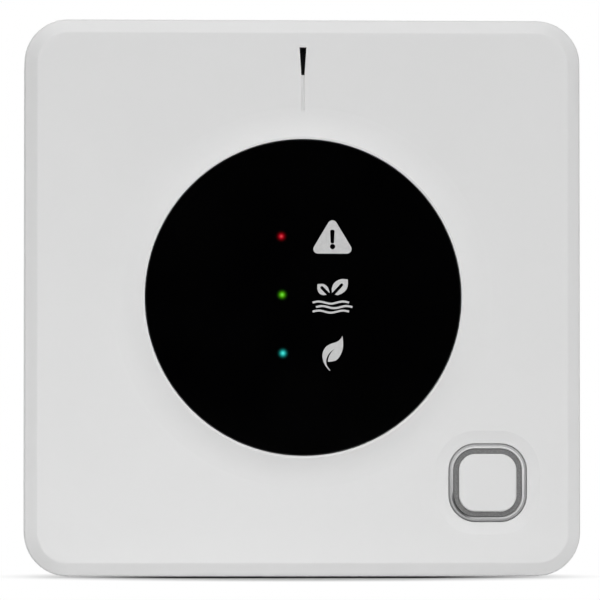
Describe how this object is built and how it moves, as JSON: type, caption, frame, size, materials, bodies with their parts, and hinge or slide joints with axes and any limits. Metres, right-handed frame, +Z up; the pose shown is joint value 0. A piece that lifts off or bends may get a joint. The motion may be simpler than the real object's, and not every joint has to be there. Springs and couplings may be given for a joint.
{
  "type": "air quality sensor",
  "caption": "Square white wall sensor with a round black window holding signal lights, a push button, a vented pull-off front and a base plate with terminals.",
  "frame": {"origin": "centre of the base plate's back face, which lies against the wall", "axes": "+X to the right seen from the room, +Y into the wall, +Z up; the front faces -Y"},
  "size_m": [0.084, 0.021, 0.084],
  "materials": {
    "cover_plastic": "fine matt white moulding",
    "window_glass": "gloss black",
    "black_tape": "black adhesive foam tape",
    "black_moulding": "matt black",
    "clear_guide": "clear, polished",
    "lamp_red": "lit",
    "lamp_green": "lit",
    "lamp_blue": "lit",
    "laminate": "black solder mask",
    "zinc_screw": "zinc plated",
    "satin_bezel": "satin light grey",
    "dark_ring": "grained dark grey",
    "cap_plastic": "satin white",
    "switch_case": "moulded",
    "stem_plastic": "moulded",
    "black_connector": "moulded",
    "gold_pins": "flash plated",
    "sensor_case": "moulded",
    "white_membrane": "porous white film",
    "tin_can": "tinned lid",
    "chip_black": "moulded",
    "grey_foam": "open-cell foam",
    "dust_mesh": "woven black",
    "base_plastic": "matt off-white",
    "block_plastic": "moulded green",
    "nickel_brass": "nickel plated",
    "can_sleeve": "brushed can",
    "ferrite": "ferrite grey",
    "fuse_body": "ceramic"
  },
  "bodies": {
    "base": {"base_plate": "base_plastic", "terminal_board": "laminate", "terminal_board_screws": "zinc_screw", "terminal_block": "block_plastic", "terminal_clamps": "nickel_brass", "terminal_screws": "zinc_screw", "pin_socket": "black_connector", "supply_capacitor": "can_sleeve", "supply_inductor": "ferrite", "supply_fuse": "fuse_body", "bridge_rectifier": "chip_black"},
    "front": {"front_cover": "cover_plastic", "window_lens": "window_glass", "window_tape": "black_tape", "light_shroud": "black_moulding", "light_guides": "clear_guide", "led_red": "lamp_red", "led_green": "lamp_green", "led_blue": "lamp_blue", "sensor_board": "laminate", "board_screws": "zinc_screw", "button_bezel": "satin_bezel", "switch_body": "switch_case", "pin_strip": "black_connector", "pins": "gold_pins", "gas_sensor": "sensor_case", "gas_membrane": "white_membrane", "voc_sensor": "tin_can", "humidity_sensor": "chip_black", "microcontroller": "chip_black", "crystal": "tin_can", "voltage_regulator": "chip_black", "sensor_foam": "grey_foam", "top_mesh": "dust_mesh", "bottom_mesh": "dust_mesh"},
    "button": {"button_cap": "cap_plastic", "button_ring": "dark_ring", "switch_stem": "stem_plastic"}
  },
  "joints": [
    {"name": "front_pull_off", "type": "slide", "parent": "base", "child": "front", "axis": [0, -1, 0], "range_m": [0, 0.03]},
    {"name": "button_press", "type": "slide", "parent": "front", "child": "button", "axis": [0, 1, 0], "range_m": [0, 0.00035], "stiffness_N_per_m": 5000, "springref_m": -0.0003}
  ]
}
